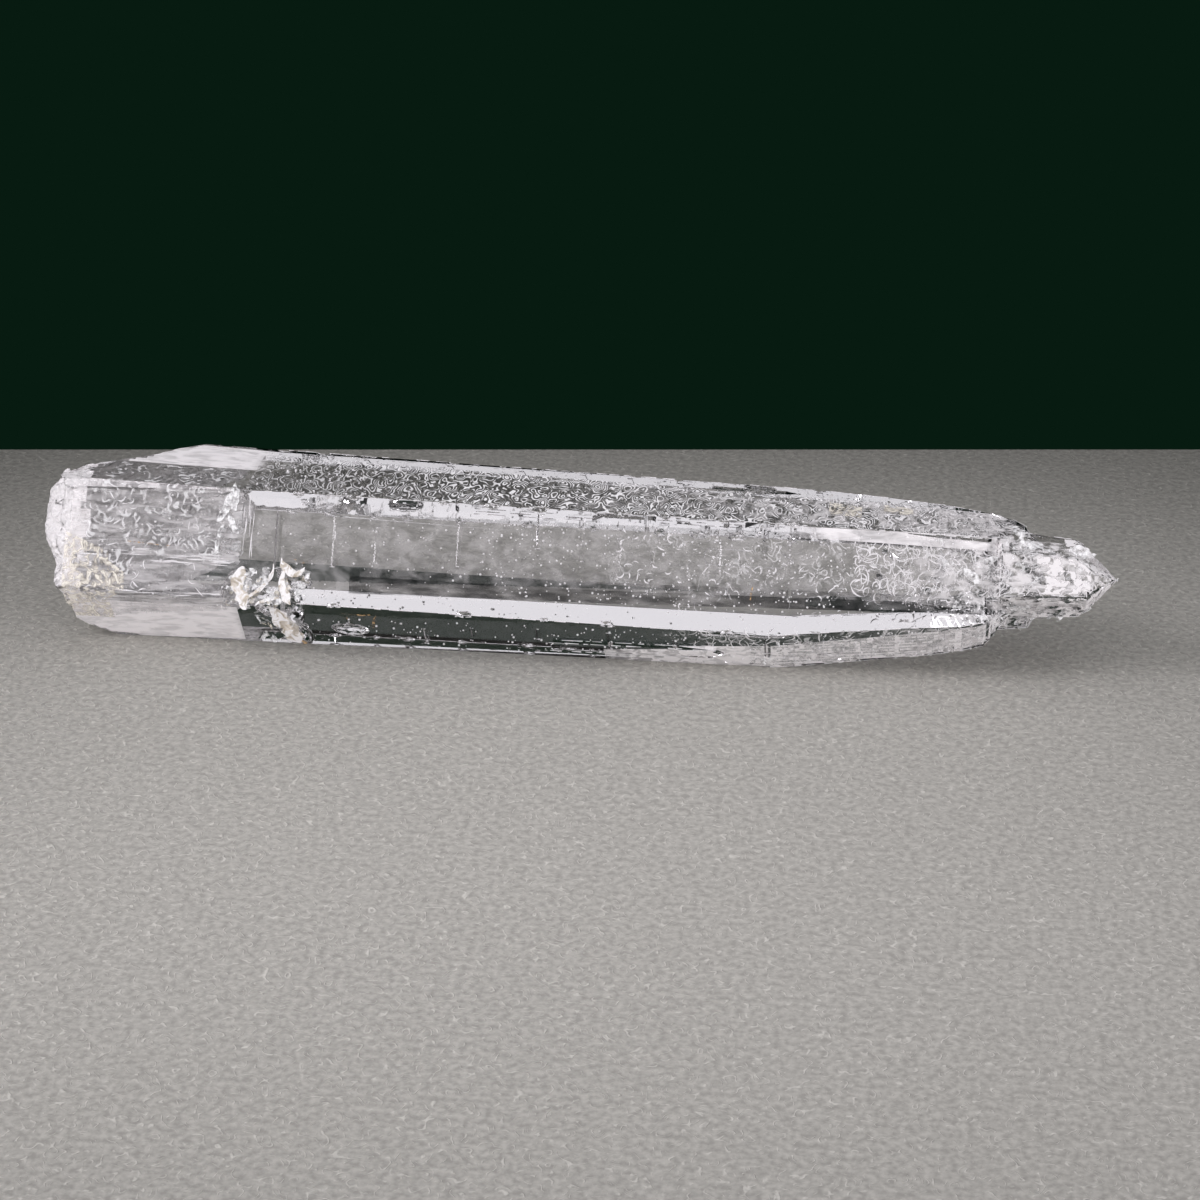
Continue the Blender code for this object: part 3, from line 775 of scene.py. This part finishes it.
def veils():
    """The white hazes, the dark strips of painted shadow and the cream dendrites."""
    film_piece("base_veil", milky_veil("milky_veil", (3.6, 0.6), (0.04, 0.44)))
    pearly = milky_veil("pearly_veil", (2.6, 0.8), (0.66, 1.2), fading=(-37.0, -34.8))
    film_piece("pearly_veil", pearly)
    lower = milky_veil("lower_veil", (1.2, 0.7), (0.7, 1.6), (-2.0, 14.0), softness=0.08)
    film_piece("lower_veil", lower)
    tip = milky_veil("tip_veil", (1.5, 0.8), (0.0, 0.85), (33.0, 48.0), softness=0.09)
    film_piece("tip_veil", tip)
    frost = milky_veil("tip_frost", (1.2, 0.8), (0.0, 1.8), (50.0, 52.0), softness=0.05)
    film_piece("tip_frost", frost)
    film_piece("face_haze", milky_veil("face_haze", (2.0, 1.5), (0.02, 0.22)))
    film_piece("top_haze", milky_veil("top_haze", (1.2, 1.6), (0.0, 0.7), (-8.0, 40.0)))
    film_piece("edge_veil", milky_veil("edge_veil", (3.0, 0.8), (0.55, 1.0), (23.0, 28.0)))
    # dark film of painted shadow
    film_piece("painted_shadow_wisps", painted_shadow_wisp())
    film_piece("dendrites", iron_stain("dendrites", "#dccbab", "#fbf6ea"))


# ---------------------------------------------------------------- single flaws
def template(operator, **settings):
    """A small mesh to be stamped many times."""
    bm = bmesh.new()
    operator(bm, **settings)
    mesh = bpy.data.meshes.new("template")
    bm.to_mesh(mesh)
    bm.free()
    return mesh


def stamp(bm, mesh, matrix):
    """Add a copy of a template at a place."""
    mesh.transform(matrix)
    bm.from_mesh(mesh)
    mesh.transform(matrix.inverted())


def pin_bubbles():
    """Bubbles right under the faces, each a small round grain."""
    rng = random.Random(8)
    bm = bmesh.new()
    grain = template(bmesh.ops.create_icosphere, subdivisions=1, radius=1.0)
    for zone, count in BUBBLE_ZONES:
        for _ in range(count):
            size = Matrix.Scale(rng.choice(BUBBLE_RADII), 4)
            stamp(bm, grain, random_spot(rng, zone) @ random_turn(rng, 30.0) @ size)
    bpy.data.meshes.remove(grain)
    add_piece("pin_bubbles", bm, [bubble_white()])


def add_stroke(bm, place, length, width, bend, ragged=0.0):
    """A flat thread, bent through `bend` radians: a hook, an arc or, unbent, a straight line."""
    made = bmesh.ops.create_grid(bm, x_segments=10, y_segments=1, size=0.5)["verts"]
    for vert in made:
        angle = vert.co.x * bend
        across = vert.co.y * width * (1.0 - STROKE_TAPER * vert.co.x * vert.co.x)
        across += ragged * width * noise.noise(vert.co * 4.3 + place.translation / MM)
        if abs(bend) < STRAIGHT:
            vert.co = Vector((vert.co.x * length, across, 0.0))
        else:
            radius = length / bend
            reach = radius + across
            vert.co = Vector((reach * math.sin(angle), radius - reach * math.cos(angle), 0.0))
    bmesh.ops.transform(bm, matrix=place, verts=made)


def hooked_strokes():
    """Fine cracks that show as hooks, arcs and straight lines."""
    rng = random.Random(21)
    bm = bmesh.new()
    for zone, count, size, bend, turn in STROKE_ZONES:
        for _ in range(count):
            angle = math.radians(turn) + rng.uniform(-0.05, 0.05)
            if turn == ANY_TURN:
                angle = rng.uniform(0.0, 2 * math.pi)
            place = random_spot(rng, zone) @ Matrix.Rotation(angle, 4, "Z")
            length = size * rng.uniform(0.5, 1.4)
            add_stroke(bm, place, length, rng.uniform(*STROKE_WIDTH), rng.uniform(-bend, bend))
    add_piece("hooked_strokes", bm, [bubble_white()])


def curled_shells(name, shells, material):
    """Ragged, bent plates of chipped quartz, or of stain, each where its table has it."""
    bm = bmesh.new()
    for shell in shells:
        place = on_plane(shell.face, shell.x, shell.along, shell.lift)
        lean = Matrix.Rotation(math.radians(shell.lean), 4, "X")
        turn = lean @ Matrix.Rotation(math.radians(shell.turn), 4, "Z")
        add_stroke(bm, place @ turn, shell.length, shell.width, shell.bend, SHELL_RAGGED)
    add_piece(name, bm, [material])


def gets_edge_beads(edge):
    """Whether an edge of the mesh is a long sharp edge of the clear part, or one at the tip."""
    start, end = (vert.co / MM for vert in edge.verts)
    along = end - start
    crosswise = abs(along.x) < EDGE_CROSSWISE * along.length and start.x < TIP_START
    sharp = edge.calc_face_angle() >= EDGE_ANGLE
    return sharp and not crosswise and min(start.x, end.x) >= CLEAR_START


def edge_chips_and_highlights():
    """White beads along the sharp edges of the grown faces, part fine chips and part painted highlight
    on the edges: short and thin, with gaps between.
    """
    rng = random.Random(12)
    source = body_mesh()
    bm = bmesh.new()
    bead = template(
        bmesh.ops.create_cone, cap_ends=True, segments=5, radius1=1.0, radius2=0.5, depth=1.0
    )
    for edge in filter(gets_edge_beads, source.edges):
        start, end = (vert.co / MM for vert in edge.verts)
        along = end - start
        steps = math.ceil(along.length / EDGE_STEP)
        turn = along.to_track_quat("Z", "Y").to_matrix().to_4x4()
        for step in range(steps):
            if rng.random() < EDGE_GAPS:
                continue
            middle = start + along * ((step + rng.random()) / steps)
            radius = rng.uniform(*EDGE_RADIUS)
            length = min(along.length, rng.uniform(*EDGE_LENGTH))
            size = Matrix.Diagonal((radius, radius, length, 1.0))
            stamp(bm, bead, Matrix.Scale(MM, 4) @ Matrix.Translation(middle) @ turn @ size)
    source.free()
    bpy.data.meshes.remove(bead)
    # white beads: chips, and painted highlight on the edges
    add_piece("edge_chips_and_highlights", bm, [bubble_white()])


def add_flake(bm, place, length, width, rng):
    """A ragged splinter: a thin, slightly cupped plate of a few corners."""
    made = bmesh.ops.create_circle(bm, cap_ends=True, radius=0.5, segments=rng.randint(5, 9))["verts"]
    for vert in made:
        ragged = rng.uniform(0.6, 1.25)
        cupped = rng.uniform(-FLAKE_CUP, FLAKE_CUP)
        vert.co = Vector((vert.co.x * length * ragged, vert.co.y * width * ragged, cupped))
    bmesh.ops.transform(bm, matrix=place, verts=made)


def flakes(name, zones, rng, lengths, widths, material):
    """A piece of flakes, strewn over the zones of its table."""
    bm = bmesh.new()
    for zone, count, size, tilt in zones:
        for _ in range(count):
            place = random_spot(rng, zone) @ random_turn(rng, tilt)
            length = size * rng.uniform(*lengths)
            add_flake(bm, place, length, length * rng.uniform(*widths), rng)
    add_piece(name, bm, [material])


def splinters():
    """White splinters crowded round the knocks, the shoulder and the tip."""
    rng = random.Random(17)
    flakes("splinters", SPLINTER_ZONES, rng, (0.4, 1.5), (0.25, 0.8), crack_white())


def iron_stains():
    """Flakes of stained quartz in the chip near the base."""
    rng = random.Random(9)
    cream = iron_stain("iron_stain", "#d8c19a", "#fbf6ea")
    flakes("iron_stains", STAIN_ZONES, rng, (0.5, 1.4), (0.3, 0.7), cream)


# ---------------------------------------------------------------- stage, light and camera
def felt_sheet():
    """The sheet that the crystal lies on, square to the camera."""
    bm = bmesh.new()
    bmesh.ops.create_grid(bm, x_segments=1, y_segments=1, size=1.0)
    length = FELT_BEFORE + FELT_BEHIND
    bmesh.ops.scale(bm, vec=Vector((FELT_HALF_WIDTH, length / 2, 1.0)) * MM, verts=bm.verts)
    middle = Vector((0.0, FELT_BEHIND - length / 2, -FELT_DROP)) * MM
    bmesh.ops.translate(bm, vec=middle, verts=bm.verts)
    turn = Matrix.Rotation(math.radians(CAMERA_TURN), 3, "Z")
    bmesh.ops.rotate(bm, matrix=turn, verts=bm.verts)
    mesh = bpy.data.meshes.new("felt_sheet")
    bm.to_mesh(mesh)
    bm.free()
    mesh.materials.append(pale_felt())
    sheet = bpy.data.objects.new("felt_sheet", mesh)
    bpy.context.scene.collection.objects.link(sheet)


def softbox(name, place, turn, size, radiance, spread):
    """A rectangular diffuser that faces down until it is turned, about X and then about Z."""
    lamp = bpy.data.lights.new(name, "AREA")
    lamp.shape = "RECTANGLE"
    lamp.size = size[0] * MM
    lamp.size_y = size[1] * MM
    lamp.energy = radiance * math.pi * lamp.size * lamp.size_y
    lamp.color = LAMP_TINT
    lamp.spread = math.radians(spread)
    holder = bpy.data.objects.new(name, lamp)
    bpy.context.scene.collection.objects.link(holder)
    holder.location = Vector(place) * MM
    holder.rotation_euler = (math.radians(turn[0]), 0.0, math.radians(turn[1]))
    holder.visible_camera = False


def camera():
    """A level camera on a short telephoto lens, looking a little down."""
    lens = bpy.data.cameras.new("camera")
    lens.sensor_width = 36.0
    lens.lens = CAMERA_LENS
    lens.clip_start = 0.01
    holder = bpy.data.objects.new("camera", lens)
    bpy.context.scene.collection.objects.link(holder)
    holder.location = Vector(CAMERA_PLACE) * MM
    holder.rotation_euler = (math.radians(90 - CAMERA_DIP), 0.0, math.radians(CAMERA_TURN))
    bpy.context.scene.camera = holder


def surroundings():
    """A dark green studio around it all, which the clear faces reflect."""
    world = bpy.data.worlds.new("dark_green_studio")
    bpy.context.scene.world = world
    world.use_nodes = True
    backdrop = world.node_tree.nodes["Background"]
    backdrop.inputs["Color"].default_value = linear(BACKDROP)
    bpy.context.scene.view_settings.view_transform = "Standard"


SURFACE = body_surface()
crystal_body()
etch_threads()
veils()
pin_bubbles()
hooked_strokes()
splinters()
iron_stains()
curled_shells("stained_shells", STAINED_SHELLS, shell_white())
curled_shells("white_shells", WHITE_SHELLS, crack_white())
curled_shells("rust_rims", RUST_RIMS, iron_stain("rust_rim", "#9c6a33", "#dcb98a"))
edge_chips_and_highlights()
felt_sheet()
for lamp_name, settings in LAMPS.items():
    softbox(lamp_name, *settings)
camera()
surroundings()
